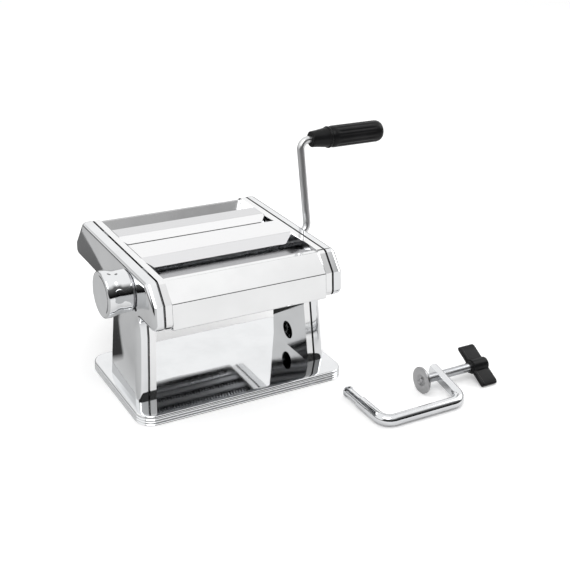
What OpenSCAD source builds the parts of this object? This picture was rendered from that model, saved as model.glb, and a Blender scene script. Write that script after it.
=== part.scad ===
// Hand-cranked pasta machine, with its crank fitted and its table clamp lying in front of it.
// X runs towards the crank, Y to the rear and Z up. The origin lies under the middle of the base.

/* [Base] */
// Width of the base across the machine
base_w = 200; // [196:1:230]
// Depth of the base from front to rear
base_d = 126; // [122:1:150]
// Radius of the base's corners
base_r = 15; // [12:1:25]
// Height of the base's top above the table
base_h = 9; // [8:0.5:12]
// Thickness of the base's sheet
base_t = 1; // [0.8:0.1:1.2]
// Depth of the grooves pressed into the base's rim
groove_d = 0.8; // [0.4:0.1:1]
// Radius of a rubber foot
foot_r = 8; // [5:0.5:9]

/* [Body] */
// Distance from a side panel to the base's edge beside it
base_margin = 27.8; // [25:0.1:30]
// Thickness of a side panel
panel_t = 2; // [1.5:0.1:2.5]
// Width of a casing from its seam to its outer face
casing_w = 10.9; // [10.5:0.1:14]
// Thickness of a casing's wall
casing_t = 1.2; // [1:0.1:1.4]
// Radius of a casing's outer edge
edge_r = 5; // [4:0.5:5.5]
// Open seam between a side panel and its casing
seam = 0.6; // [0.3:0.1:1]
// Height of the body's top above the table
body_top = 126.5; // [126:0.5:135]
// Height of the body's lower edge above the table
body_low = 88; // [86:0.5:92]
// Height of the crease where the legs start to spread
crease_z = 66; // [50:1:75]
// Outward spread of the legs below the crease, in degrees
splay = 3.5; // [0:0.5:5]
// Radius of the hollow corners between the legs and the body
leg_fillet = 11; // [6:1:14]
// Thickness of the front panel, trays and guides
sheet_t = 1.2; // [0.8:0.1:1.4]

/* [Rollers] */
// Radius of a smooth roller
roller_r = 12; // [11.5:0.1:12.2]
// Gap between the smooth rollers at their widest setting
gap_open = 2.55; // [2:0.05:3]
// Gap between the smooth rollers at their narrowest setting
gap_closed = 0.3; // [0.2:0.05:0.5]
// Distance of the drive roller's axis behind the middle of the base
drive_y = 27.85; // [27:0.05:29]
// Number of teeth on a roller gear
roller_teeth = 14; // [12:1:16]

/* [Cutters] */
// Radius of a cutter's rings
ring_r = 9.6; // [9.3:0.1:9.8]
// Radius of a cutter between its rings
core_r = 7.2; // [6.8:0.1:7.3]
// Distance between the axes of a cutter pair
cutter_pitch = 17; // [17:0.1:17.6]
// Distance of the wide cutters' middle ahead of the base's middle
wide_y = 13; // [12:0.5:14]
// Distance of the fine cutters' middle behind the base's middle
fine_y = 88; // [87:0.5:89]
// Width of a strip cut by the wide cutters
wide_strip = 6.5; // [5:0.1:8]
// Width of a strip cut by the fine cutters
fine_strip = 1.6; // [1.5:0.1:2.5]
// Number of teeth on a cutter gear
cutter_teeth = 12; // [10:1:14]

/* [Thickness knob] */
// Radius of the knob's rim
knob_r = 20.2; // [19:0.1:22]
// Radius of the knob's neck
knob_neck_r = 18.5; // [17.5:0.1:18.8]
// Distance from the casing to the knob's face
knob_reach = 23.8; // [22:0.2:26]
// Number of thickness settings
settings = 7; // [5:1:9]
// Turn of the knob from one setting to the next, in degrees
setting_step = 22; // [16:1:25]
// Travel of the knob when it is pulled out to turn it
knob_pull = 4; // [3:0.5:4.5]

/* [Crank] */
// Radius of the crank's rod
crank_r = 3.5; // [3:0.1:3.5]
// Length of the crank's arm between its two bends
arm_len = 86; // [70:1:110]
// Distance from the casing to the middle of the arm
arm_reach = 19; // [15:0.5:25]
// Lean of the arm towards the rear, in degrees
arm_lean = 13.9; // [-180:0.1:180]
// Length of the grip
grip_len = 78; // [70:1:90]
// Radius of the grip's body
grip_r = 10.4; // [9.5:0.1:12]

/* [Clamp] */
// Radius of the clamp's bar
bar_r = 5.25; // [4.5:0.05:5.5]
// Distance of the clamp's bar ahead of the base's front edge
clamp_y = 88.5; // [75:0.5:100]
// Distance between the clamp's two arms
clamp_span = 83; // [70:0.5:90]
// Length of the clamp's arm that hooks into the machine
hook_len = 59.5; // [50:0.5:70]
// Radius of the clamp's pressure disc
pad_r = 12.3; // [10:0.1:14]
// Travel of the clamp's pressure disc
pad_travel = 25; // [15:1:35]
// Radius of the clamp's screw
screw_r = 4; // [3:0.1:4]

/* [Hidden] */
$fn = 64;
// Overrun of every cut past the face that it opens
over = 1;
// Clearance round a shaft that turns or slides
fit = 0.05;
// Clearance between sheets that lie side by side
slip = 0.2;
// Clearance round a piece that is fixed in its seat
seat = 0.02;
// Segments in a rounded corner, and rings round a casing's edge
arc_steps = 6;
edge_steps = 5;

// Stations along X, from the side panel's inner face outwards
panel_in = base_w / 2 - base_margin;
panel_out = panel_in + panel_t;
flange_w = 3.8;
flange_t = 1.5;
flange_out = panel_out + flange_w;
seam_x = flange_out + seam;
face_x = seam_x + casing_w;
casing_in = face_x - casing_t;
sheet_end = panel_in - slip;
drum_end = panel_in - 4 * slip;

// Places of the body's corners along Y
front_low_y = -68.2;
front_bend_y = -65.7;
front_top_y = -51.5;
rear_top_y = 100.5;
rear_bend_y = 120.5;
rear_low_y = 121;
leg_front_top = -28;
leg_rear_top = 28;
leg_front_low = -37;
leg_rear_low = 29.5;
body_corner_r = 6.5;

// Heights that follow the body's top
front_bend_drop = 16;
rear_bend_drop = 25;
roller_drop = 16;
cutter_drop = 23.5;
front_bend_z = body_top - front_bend_drop;
rear_bend_z = body_top - rear_bend_drop;
roller_z = body_top - roller_drop;
cutter_z = body_top - cutter_drop;

// Places of the shafts
adjust_y = drive_y + 2 * roller_r + gap_open;
close_travel = gap_open - gap_closed;
drive_at = [drive_y, roller_z];
adjust_at = [adjust_y, roller_z];
wide_a_at = [-wide_y - cutter_pitch / 2, cutter_z];
wide_b_at = [-wide_y + cutter_pitch / 2, cutter_z];
fine_a_at = [fine_y - cutter_pitch / 2, cutter_z];
fine_b_at = [fine_y + cutter_pitch / 2, cutter_z];

function unit(v) = v / norm(v);
function left_of(u) = [-u.y, u.x];
function flat(p) = [p.x, p.y];

// Points of the arc that rounds the corner b between a and c
function corner(a, b, c, r) = r == 0 ? [b] :
    let (
        u = unit(a - b),
        w = unit(c - b),
        half = acos(u * w) / 2,
        mid = b + unit(u + w) * r / sin(half),
        start = b + u * r / tan(half) - mid,
        stop = b + w * r / tan(half) - mid,
        from = atan2(start.y, start.x),
        turned = atan2(stop.y, stop.x) - from,
        sweep = turned > 180 ? turned - 360 : turned < -180 ? turned + 360 : turned
    )
    [for (i = [0:arc_steps]) mid + r * [cos(from + sweep * i / arc_steps), sin(from + sweep * i / arc_steps)]];

// Closed outline and open path through corners given as [y, z, radius]
function outline(p) =
    let (n = len(p))
    [for (i = [0:n - 1]) each corner(flat(p[(i + n - 1) % n]), flat(p[i]), flat(p[(i + 1) % n]), p[i].z)];
function path(p) =
    let (last = len(p) - 1)
    [flat(p[0]), for (i = [1:last - 1]) each corner(flat(p[i - 1]), flat(p[i]), flat(p[i + 1]), p[i].z), flat(p[last])];

// Outline moved inwards by d, for an outline that runs anticlockwise
function inset(p, d) =
    let (n = len(p))
    [for (i = [0:n - 1])
        let (a = left_of(unit(p[i] - p[(i + n - 1) % n])), b = left_of(unit(p[(i + 1) % n] - p[i])))
        p[i] + (a + b) * d / (1 + a * b)];

// Strip of thickness t on the left of an open path
function side_at(p, i) = left_of(unit(p[i + 1] - p[i]));
function strip(p, t) =
    let (last = len(p) - 1)
    concat(p, [for (i = [last:-1:0])
        let (a = side_at(p, max(i - 1, 0)), b = side_at(p, min(i, last - 1)))
        p[i] + (a + b) * t / (1 + a * b)]);

// Place along Y of the legs' front and rear edges at a height z
function leg_front(z) =
    leg_front_top + (leg_front_low - leg_front_top) * (body_low - z) / (body_low - base_h);
function leg_rear(z) =
    leg_rear_top + (leg_rear_low - leg_rear_top) * (body_low - z) / (body_low - base_h);

// Side view of the body and legs, which run on a little below the base's top
leg_tail = 4;
side_view = outline([
    [leg_front(crease_z), crease_z, 0],
    [leg_front(base_h - leg_tail), base_h - leg_tail, 0],
    [leg_rear(base_h - leg_tail), base_h - leg_tail, 0],
    [leg_rear(crease_z), crease_z, 0],
    [leg_rear_top, body_low, leg_fillet],
    [rear_low_y, body_low, body_corner_r],
    [rear_bend_y, rear_bend_z, 0],
    [rear_top_y, body_top, body_corner_r],
    [front_top_y, body_top, body_corner_r],
    [front_bend_y, front_bend_z, 0],
    [front_low_y, body_low, body_corner_r],
    [leg_front_top, body_low, leg_fillet]
]);

module along_x(x, w) {
    translate([x, 0, 0])
        rotate([90, 0, 90])
            linear_extrude(w)
                children();
}

// Round bar along X from x, of length w, with its axis at [y, z]
module rod(x, w, at, r) {
    translate([x, at.x, at.y])
        rotate([0, 90, 0])
            cylinder(h = w, r = r);
}

// Bar with several steps along X, from places x and radii r, on the axis at [y, z]
module steps(at, profile) {
    translate([0, at.x, at.y])
        rotate([0, 90, 0])
            rotate_extrude()
                polygon(profile);
}

module both_sides() {
    children();
    mirror([1, 0, 0])
        children();
}

// Turns what is below the crease outwards about the side panel's inner face
module spread() {
    translate([panel_in, 0, crease_z])
        rotate([0, -splay, 0])
            translate([-panel_in, 0, -crease_z])
                children();
}

// Where a slab's face at x bends at the crease, and where it meets the base
function bend_z(x) = crease_z + (x - panel_in) * tan(splay / 2);
function foot_x(x) = panel_in + (x - panel_in) / cos(splay) + (crease_z - base_h) * tan(splay);

// Slab from x of width w with a side view, upright above the crease and spread below it
module bent_slab(x, w, points) {
    intersection() {
        along_x(x - over, foot_x(x + w) - x + 2 * over)
            polygon(points);
        translate([0, base_w, 0])
            rotate([90, 0, 0])
                linear_extrude(2 * base_w)
                    polygon([
                        [x, body_top + over],
                        [x, bend_z(x)],
                        [foot_x(x), base_h],
                        [foot_x(x + w), base_h],
                        [x + w, bend_z(x + w)],
                        [x + w, body_top + over]
                    ]);
    }
}

// Slab with rounded corners, standing on z
module slab(w, d, r, z, h) {
    translate([0, 0, z])
        linear_extrude(h) {
            square([w - 2 * r, d], center = true);
            square([w, d - 2 * r], center = true);
            for (x = [-1, 1], y = [-1, 1])
                translate([x * (w / 2 - r), y * (d / 2 - r)])
                    circle(r);
        }
}

// Base: a pressed pan with a ribbed rim, four rubber feet and four screws that hold the legs
rim_gap = 0.25;
rim_bands = 7;
base_screw_y = 16;
base_screw_r = 2;
base_screw_head = [3.6, 2.5];
leg_plate_h = 2;
leg_plate_y = 24;
leg_plate_w = 12.5;
leg_x = foot_x(panel_in);
base_screw_x = leg_x + panel_t + leg_plate_w / 2 - fit;
foot_inset = 18;

module screw_places() {
    for (x = [-1, 1], y = [-1, 1])
        translate([x * base_screw_x, y * base_screw_y, 0])
            children();
}

module base_plate() {
    band = (base_h - rim_gap) / rim_bands;
    color("gainsboro")
        difference() {
            for (i = [0:rim_bands - 1]) {
                d = i % 2 == 0 ? 0 : groove_d;
                slab(base_w - 2 * d, base_d - 2 * d, base_r - d, rim_gap + i * band, band);
            }
            slab(base_w - 2 * (base_t + groove_d), base_d - 2 * (base_t + groove_d),
                base_r - base_t - groove_d, rim_gap - over, base_h - base_t - rim_gap + over);
            screw_places()
                cylinder(h = base_h + over, r = base_screw_r + fit);
        }
}

module rubber_feet() {
    color("dimgray")
        for (x = [-1, 1], y = [-1, 1])
            translate([x * (base_w / 2 - foot_inset), y * (base_d / 2 - foot_inset), 0])
                cylinder(h = base_h - base_t, r = foot_r);
}

module base_screws() {
    color("silver")
        screw_places() {
            translate([0, 0, base_h - base_t - base_screw_head.y])
                cylinder(h = base_screw_head.y, r = base_screw_head.x);
            translate([0, 0, base_h - base_t - over])
                cylinder(h = base_t + leg_plate_h + 2 * over, r = base_screw_r);
        }
}

// Bushes: a flush ring in the panel for each shaft, and a collar outside it on the crank side
bush_t = 1.25;
roller_journal_r = 5;
slide_journal_r = 4;
cutter_journal_r = 3.5;
socket_journal_r = 5;
collar_w = 1;
tie_r = 4;
tie_screw_r = 2;
tie_head = [3.5, 2.5];
tie_front = [12.2, 7];
tie_middle = [15, 5.5];
tie_rear = [10, 7];
tie_places = [
    [front_low_y + tie_front.x, body_low + tie_front.y],
    [wide_b_at.x + tie_middle.x, body_low + tie_middle.y],
    [rear_low_y - tie_rear.x, body_low + tie_rear.y]
];

// Carriage: blocks that slide in slots of the side panels and carry the adjustable roller
block_r = 7;
slot_play = 0.15;
cheek_w = 2.6;
cheek_x = panel_out + slot_play * 2;
cheek_r = 9.5;
carriage_tie_r = 2.5;
tie_boss_r = 3.6;
carriage_tie_off = [7.6, 5.5];
carriage_tie_at = [adjust_y + carriage_tie_off.x, cutter_z - carriage_tie_off.y];

// Thickness knob: places along X and sizes of its pieces
knob_rise = 2.5;
knob_at = [-wide_y, cutter_z + knob_rise];
stub_r = 2.5;
spindle_r = 4;
cam_r = 15;
cam_t = 4.5;
cam_gap = 4.8;
cam_x = panel_out + cam_gap;
groove_depth = 3.5;
follower_r = 2.5;
follower_at_rest = 10.25;
groove_play = 0.15;
knob_turn = setting_step * (settings - 1);
follower_at = [knob_at.x + follower_at_rest, knob_at.y];

// Clamp hole in the right leg
clamp_hole_r = 8.75;
clamp_hole_at = [1, 25.5];

// Sheet side panel with its rim turned outwards and a foot plate on the base
module side_panel(extra_bush) {
    difference() {
        union() {
            difference() {
                bent_slab(panel_in, panel_t + flange_w, side_view);
                bent_slab(panel_out, flange_w + over, inset(side_view, flange_t));
            }
            translate([leg_x + panel_t / 2, -leg_plate_y, base_h])
                cube([panel_t / 2 + leg_plate_w, 2 * leg_plate_y, leg_plate_h]);
        }
        for (at = tie_places)
            rod(panel_in - over, panel_t + 2 * over, at, tie_screw_r + fit);
        rod(panel_in - over, panel_t + 2 * over, drive_at, roller_journal_r + bush_t + seat);
        for (at = [wide_a_at, wide_b_at, fine_a_at, fine_b_at])
            rod(panel_in - over, panel_t + 2 * over, at,
                (at == extra_bush[0] || at == extra_bush[1] ? socket_journal_r : cutter_journal_r) + bush_t + seat);
        slot_cut(adjust_at, block_r + slot_play, close_travel);
        round_slot_cut(carriage_tie_at, carriage_tie_r + slot_play, close_travel);
        translate([base_screw_x, -base_screw_y, base_h - over])
            cylinder(h = leg_plate_h + 2 * over, r = base_screw_r + fit);
        translate([base_screw_x, base_screw_y, base_h - over])
            cylinder(h = leg_plate_h + 2 * over, r = base_screw_r + fit);
    }
}

// Square and round slots in a side panel that leave room to slide forwards
module slot_cut(at, r, travel) {
    translate([panel_in - over, at.x - r - travel, at.y - r])
        cube([panel_t + 2 * over, 2 * r + travel, 2 * r]);
}

module round_slot_cut(at, r, travel) {
    translate([panel_in - over, at.x - travel, at.y - r])
        cube([panel_t + 2 * over, travel, 2 * r]);
    rod(panel_in - over, panel_t + 2 * over, at, r);
    rod(panel_in - over, panel_t + 2 * over, at - [travel, 0], r);
}

module left_side_panel() {
    color("whitesmoke")
        mirror([1, 0, 0])
            difference() {
                side_panel([]);
                rod(panel_in - over, panel_t + 2 * over, knob_at, stub_r + fit);
            }
}

module right_side_panel() {
    color("whitesmoke")
        difference() {
            side_panel([wide_b_at, fine_a_at]);
            spread()
                rod(panel_in - over, panel_t + 2 * over, clamp_hole_at, clamp_hole_r);
        }
}

// Casing shell: rings of the side view, out along the skin and back along the inside
casing_rings = concat(
    [[seam_x, 0]],
    [for (i = [0:edge_steps]) let (a = 90 * i / edge_steps)
        [face_x - edge_r * (1 - sin(a)), edge_r * (1 - cos(a))]],
    [for (i = [edge_steps:-1:0]) let (a = 90 * i / edge_steps, r = edge_r - casing_t)
        [casing_in - r * (1 - sin(a)), casing_t + r * (1 - cos(a))]],
    [[seam_x, casing_t]]
);

// Point i of a casing ring: straight above the crease, turned outwards below it, mitred on it
crease_points = 4;
function casing_point(x, q, i) =
    i == 0 || i == crease_points - 1 ? [x, q.x, bend_z(x)] :
    i >= crease_points ? [x, q.x, q.y] :
    [panel_in + (x - panel_in) * cos(splay) - (q.y - crease_z) * sin(splay),
        q.x, crease_z + (x - panel_in) * sin(splay) + (q.y - crease_z) * cos(splay)];

// Sheet casing: a rolled rim round the side view, and a flat face that reaches into the rim
module casing_shell() {
    n = len(side_view);
    rings = len(casing_rings);
    points = [for (ring = casing_rings)
        let (view = inset(side_view, ring.y))
        for (i = [0:n - 1]) casing_point(ring.x, view[i], i)];
    skin = [for (k = [0:rings - 1], i = [0:n - 1], half = [0, 1])
        let (
            a = k * n + i,
            b = k * n + (i + 1) % n,
            c = (k + 1) % rings * n + (i + 1) % n,
            d = (k + 1) % rings * n + i
        )
        half == 0 ? [a, c, b] : [a, d, c]];
    difference() {
        polyhedron(points = points, faces = skin);
        translate([0, -base_w / 2, base_h - base_w])
            cube([base_w, base_w, base_w]);
    }
    bent_slab(casing_in, casing_t, inset(side_view, edge_r - slip));
}

crank_hole_r = 6;
bush_r = 6;

module left_casing() {
    color("silver")
        mirror([1, 0, 0])
            difference() {
                casing_shell();
                rod(casing_in - over, casing_t + 2 * over, knob_at, bush_r + seat);
            }
}

module right_casing() {
    color("silver")
        difference() {
            casing_shell();
            for (at = [drive_at, wide_b_at, fine_a_at])
                rod(casing_in - over, casing_t + 2 * over, at, crank_hole_r);
        }
}

// Spring clips inside the seam, one end on the panel's rim and the other on the casing
clip_t = 0.8;
clip_w = 12;
clip_reach = 3;
clip_tops = [-30, 62];
clip_front = 20;
clip_rear = 19;
clip_lows = [front_low_y + clip_front, rear_low_y - clip_rear];

module casing_clips() {
    step = flange_t - casing_t;
    color("darkgray")
        both_sides() {
            for (y = clip_tops) {
                translate([flange_out - clip_reach, y, body_top - flange_t - clip_t])
                    cube([2 * clip_reach + seam, clip_w, clip_t]);
                translate([seam_x, y, body_top - flange_t - clip_t])
                    cube([clip_reach, clip_w, clip_t + step]);
            }
            for (y = clip_lows) {
                translate([flange_out - clip_reach, y, body_low + flange_t])
                    cube([2 * clip_reach + seam, clip_w, clip_t]);
                translate([seam_x, y, body_low + casing_t])
                    cube([clip_reach, clip_w, clip_t + step]);
            }
        }
}

// Folded sheets between the side panels
sheet_drop = 1.3;
fold_r = 1.5;
front_lip = 4.5;
bottom_lip = 6.2;
lip_end_w = 61.5;
lip_drop = 7;

module sheet(points, t) {
    along_x(-sheet_end, 2 * sheet_end)
        polygon(strip(path(points), t));
}

// Corner cut that narrows a lip towards its free edge, between y0 and y1
module lip_corner_cut(y0, y1) {
    both_sides()
        translate([0, y1, 0])
            rotate([90, 0, 0])
                linear_extrude(y1 - y0)
                    polygon([
                        [sheet_end + over, body_top - sheet_drop],
                        [sheet_end, body_top - sheet_drop],
                        [lip_end_w, body_top - sheet_drop - lip_drop],
                        [lip_end_w - over, body_low],
                        [sheet_end + over, body_low]
                    ]);
}

module front_panel() {
    color("white")
        sheet([
            [front_top_y + sheet_drop + front_lip, body_top - sheet_drop, 0],
            [front_top_y + sheet_drop / 2, body_top - sheet_drop, fold_r],
            [front_bend_y, front_bend_z, fold_r],
            [front_low_y, body_low, fold_r],
            [front_low_y + bottom_lip, body_low - sheet_drop, 0]
        ], sheet_t);
}

tray_y = front_top_y + sheet_drop + front_lip;
tray_over = 5;
tray_clear = 10.4;
tray_fold = 9;
tray_end = [wide_a_at.x + tray_over, cutter_z + tray_clear];

module front_tray() {
    color("white")
        difference() {
            sheet([
                [front_top_y + 2 * sheet_drop, body_top - sheet_drop - sheet_t, 0],
                [tray_y + sheet_drop, body_top - sheet_drop - sheet_t, sheet_t],
                [tray_y + 3 * sheet_drop, tray_end.y + tray_fold, fold_r],
                [tray_end.x, tray_end.y, 0]
            ], -sheet_t);
            lip_corner_cut(tray_y + 3 * sheet_drop, tray_end.x + over);
        }
}

guide_rise = 0.3;
guide_z = body_top + guide_rise;
guide_lip = 7.2;
wide_lip_y = 8;
exit_lip_y = 7.8;
slot_behind = 11.5;
roller_over = 1.55;
roller_short = 3.8;
fine_short = 10.5;

module center_guide() {
    front_y = slot_behind - wide_y;
    rear_y = drive_y + roller_over;
    color("white")
        difference() {
            sheet([
                [front_y - wide_lip_y, guide_z - guide_lip, 0],
                [front_y, guide_z, fold_r],
                [rear_y, guide_z, fold_r],
                [rear_y + wide_lip_y, guide_z - guide_lip * 0.7, 0]
            ], -sheet_t);
            lip_corner_cut(front_y - wide_lip_y - over, front_y);
            lip_corner_cut(rear_y, rear_y + wide_lip_y + over);
        }
}

module rear_guide() {
    front_y = adjust_y - roller_short;
    rear_y = fine_a_at.x - fine_short;
    color("white")
        difference() {
            sheet([
                [front_y - exit_lip_y, guide_z - guide_lip * 0.7, 0],
                [front_y, guide_z, fold_r],
                [rear_y, guide_z, fold_r],
                [rear_y + wide_lip_y * 1.5, guide_z - guide_lip * 1.5, 0]
            ], -sheet_t);
            lip_corner_cut(front_y - exit_lip_y - over, front_y);
            lip_corner_cut(rear_y, rear_y + wide_lip_y * 1.5 + over);
        }
}

rear_lip = [6.7, 10.3];

module rear_cover() {
    color("gainsboro")
        sheet([
            [rear_top_y - rear_lip.x, body_top - rear_lip.y, 0],
            [rear_top_y, body_top - sheet_drop, fold_r],
            [rear_bend_y - sheet_drop, rear_bend_z, fold_r],
            [rear_low_y - sheet_drop, body_low, fold_r],
            [rear_low_y - sheet_drop - bottom_lip, body_low - sheet_drop, 0]
        ], -sheet_t);
}

module tie_rods() {
    color("silver")
        for (at = tie_places)
            difference() {
                rod(-panel_in, 2 * panel_in, at, tie_r);
                both_sides()
                    rod(panel_in - tie_thread, tie_thread + over, at, tie_screw_r + fit);
            }
}

tie_thread = 10;

module tie_rod_screws() {
    color("silver")
        both_sides()
            for (at = tie_places) {
                rod(panel_in - tie_thread + over, tie_thread + panel_t - over, at, tie_screw_r);
                rod(panel_out, tie_head.y, at, tie_head.x);
            }
}

// Ring round a journal of radius r, from x outwards
module ring(x, w, at, r_in, r_out) {
    difference() {
        rod(x, w, at, r_out);
        rod(x - over, w + 2 * over, at, r_in);
    }
}

module panel_bush(at, r) {
    ring(panel_in, panel_t, at, r + fit, r + bush_t);
}

module collar_bush(at, r) {
    ring(panel_in, panel_t + collar_w, at, r + fit, r + bush_t);
    ring(panel_out, collar_w, at, r + fit, r + 2 * bush_t);
}

module roller_bushes() {
    color("goldenrod") {
        collar_bush(drive_at, roller_journal_r);
        mirror([1, 0, 0])
            panel_bush(drive_at, roller_journal_r);
    }
}

module cutter_bushes() {
    color("goldenrod") {
        for (at = [wide_b_at, fine_a_at])
            collar_bush(at, socket_journal_r);
        for (at = [wide_a_at, fine_b_at])
            panel_bush(at, cutter_journal_r);
        mirror([1, 0, 0])
            for (at = [wide_a_at, wide_b_at, fine_a_at, fine_b_at])
                panel_bush(at, cutter_journal_r);
    }
}

// Scrapers: strips that end just short of the rollers, one under each
scraper_t = 0.8;
scraper_gap = 0.3;
scraper_foot = [8, 16];
scraper_tip = 1.2;
slide_foot = [2.5, 16.7];

module roller_scrapers() {
    color("silver") {
        sheet([
            [drive_at.x - scraper_foot.x, roller_z - scraper_foot.y, 0],
            [drive_at.x - scraper_tip, roller_z - roller_r - scraper_gap, 0]
        ], -scraper_t);
        sheet([
            [adjust_at.x - close_travel / 2, roller_z - roller_r - scraper_gap, 0],
            [adjust_at.x + slide_foot.x, roller_z - slide_foot.y, 0]
        ], -scraper_t);
    }
}

// Combs: bars under the cutters, with a tooth in each groove
comb_half = 3.5;
comb_t = 2;
comb_gap = 0.6;
comb_tooth_t = 3;

module comb(at, pitch, ring, count) {
    top = at.y - ring_r - comb_gap;
    translate([-sheet_end, at.x - comb_half, top - comb_t])
        cube([2 * sheet_end, 2 * comb_half, comb_t]);
    tooth_w = pitch - ring - 4 * slip;
    for (i = [0:count - 1])
        translate([(i - (count - 1) / 2) * pitch - tooth_w / 2, at.x - comb_tooth_t / 2, top - comb_t / 2])
            cube([tooth_w, comb_tooth_t, at.y - core_r - comb_gap - top + comb_t / 2]);
}

wide_pitch = 2 * wide_strip;
fine_pitch = 2 * fine_strip;
wide_count = floor((2 * drum_end - wide_strip) / wide_pitch) + 1;
fine_count = floor((2 * drum_end - fine_strip) / fine_pitch);

module front_combs() {
    color("silver") {
        comb(wide_a_at, wide_pitch, wide_strip - slip, wide_count - 1);
        comb(wide_b_at, wide_pitch, wide_strip - slip, wide_count);
    }
}

module rear_combs() {
    color("silver") {
        comb(fine_a_at, fine_pitch, fine_strip - slip, fine_count - 1);
        comb(fine_b_at, fine_pitch, fine_strip - slip, fine_count);
    }
}

// Gears with involute teeth; out is the angle from the base circle to the radius r
pressure = 25;
gear_play = 0.06;
gear_x = flange_out;
gear_w = 6.4;

function out(r, base) =
    let (a = sqrt(max(pow(r / base, 2) - 1, 0)))
    a * 180 / PI - atan(a);
function half_tooth(r, pitch_r, teeth) =
    let (base = pitch_r * cos(pressure))
    90 / teeth - gear_play / pitch_r * 180 / PI + out(pitch_r, base) - out(max(r, base), base);

// Outline of a gear with a tooth, or a gap where shift is a half, on the +Y side
flank_steps = 4;
function gear_outline(pitch_r, teeth, root, tip, shift) =
    let (
        base = pitch_r * cos(pressure),
        radii = [root, for (i = [0:flank_steps]) base + (tip - base) * i / flank_steps]
    )
    [for (k = [0:teeth - 1], side = [-1, 1], i = [0:flank_steps + 1])
        let (
            r = radii[side < 0 ? i : flank_steps + 1 - i],
            a = (k + shift) * 360 / teeth + side * half_tooth(r, pitch_r, teeth)
        )
        r * [cos(a), sin(a)]];

module gear(at, bore, pitch_r, teeth, tip, shift) {
    difference() {
        translate([gear_x, at.x, at.y])
            rotate([90, 0, 90])
                linear_extrude(gear_w)
                    polygon(gear_outline(pitch_r, teeth, 2 * (pitch_r - tip / 2) - scraper_gap, tip, shift));
        rod(gear_x - over, gear_w + 2 * over, at, bore + seat);
    }
}

roller_gear_r = roller_r + gap_closed / 2;
roller_addendum = 1.85;
cutter_addendum = 1.05;
roller_gear_tip = roller_gear_r + roller_addendum;
cutter_gear_tip = cutter_pitch / 2 + cutter_addendum;

module drive_gear() {
    color("silver")
        gear(drive_at, roller_journal_r, roller_gear_r, roller_teeth, roller_gear_tip, 0);
}

module adjustable_gear() {
    color("silver")
        gear(adjust_at, slide_journal_r, roller_gear_r, roller_teeth, roller_gear_tip, roller_teeth % 2 == 0 ? 0.5 : 0);
}

module cutter_gear(at, bore, shift) {
    color("silver")
        gear(at, bore, cutter_pitch / 2, cutter_teeth, cutter_gear_tip, shift);
}

module front_gear_a() {
    cutter_gear(wide_a_at, cutter_journal_r, 0);
}

module front_gear_b() {
    cutter_gear(wide_b_at, socket_journal_r, cutter_teeth % 2 == 0 ? 0.5 : 0);
}

module rear_gear_a() {
    cutter_gear(fine_a_at, socket_journal_r, 0);
}

module rear_gear_b() {
    cutter_gear(fine_b_at, cutter_journal_r, cutter_teeth % 2 == 0 ? 0.5 : 0);
}

// Socket for the crank in the end of a journal: a round bore with a slot for the key behind it
socket_len = 10;
key_len = 4;
key_size = [3, 6];
shaft_gap = 0.9;
shaft_end = casing_in - shaft_gap;
stub_end = gear_x + gear_w;

module socket_cut(at) {
    rod(shaft_end - socket_len, socket_len + over, at, crank_r + 2 * fit);
    translate([shaft_end - socket_len - key_len, at.x - key_size.x / 2 - 2 * fit, at.y - key_size.y / 2 - 2 * fit])
        cube([key_len + over, key_size.x + 4 * fit, key_size.y + 4 * fit]);
}

module drive_roller() {
    color("silver")
        difference() {
            steps(drive_at, [
                [0, -panel_out],
                [roller_journal_r, -panel_out],
                [roller_journal_r, -drum_end],
                [roller_r, -drum_end],
                [roller_r, drum_end],
                [roller_journal_r, drum_end],
                [roller_journal_r, shaft_end],
                [0, shaft_end]
            ]);
            socket_cut(drive_at);
        }
}

module adjustable_roller() {
    color("silver")
        steps(adjust_at, [
            [0, -cheek_x - cheek_w],
            [slide_journal_r, -cheek_x - cheek_w],
            [slide_journal_r, -drum_end],
            [roller_r, -drum_end],
            [roller_r, drum_end],
            [slide_journal_r, drum_end],
            [slide_journal_r, stub_end],
            [0, stub_end]
        ]);
}

// Cutter with rings of width ring, between journals that end at the right at end
module cutter(at, journal, end, pitch, ring, count) {
    steps(at, concat(
        [
            [0, -panel_out],
            [cutter_journal_r, -panel_out],
            [cutter_journal_r, -drum_end],
            [core_r, -drum_end]
        ],
        [for (i = [0:count - 1])
            let (mid = (i - (count - 1) / 2) * pitch)
            each [[core_r, mid - ring / 2], [ring_r, mid - ring / 2], [ring_r, mid + ring / 2], [core_r, mid + ring / 2]]],
        [
            [core_r, drum_end],
            [journal, drum_end],
            [journal, end],
            [0, end]
        ]
    ));
}

module front_cutter_a() {
    color("silver")
        cutter(wide_a_at, cutter_journal_r, stub_end, wide_pitch, wide_strip - slip, wide_count);
}

module front_cutter_b() {
    color("silver")
        difference() {
            cutter(wide_b_at, socket_journal_r, shaft_end, wide_pitch, wide_strip - slip, wide_count - 1);
            socket_cut(wide_b_at);
        }
}

module rear_cutter_a() {
    color("silver")
        difference() {
            cutter(fine_a_at, socket_journal_r, shaft_end, fine_pitch, fine_strip - slip, fine_count);
            socket_cut(fine_a_at);
        }
}

module rear_cutter_b() {
    color("silver")
        cutter(fine_b_at, cutter_journal_r, stub_end, fine_pitch, fine_strip - slip, fine_count - 1);
}

// Slug in the panel's slot, which carries the adjustable roller's journal
module block_slug(x, w) {
    difference() {
        translate([x, adjust_y - block_r, roller_z - block_r])
            cube([w, 2 * block_r, 2 * block_r]);
        rod(x - over, w + 2 * over, adjust_at, slide_journal_r + fit);
    }
}

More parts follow.
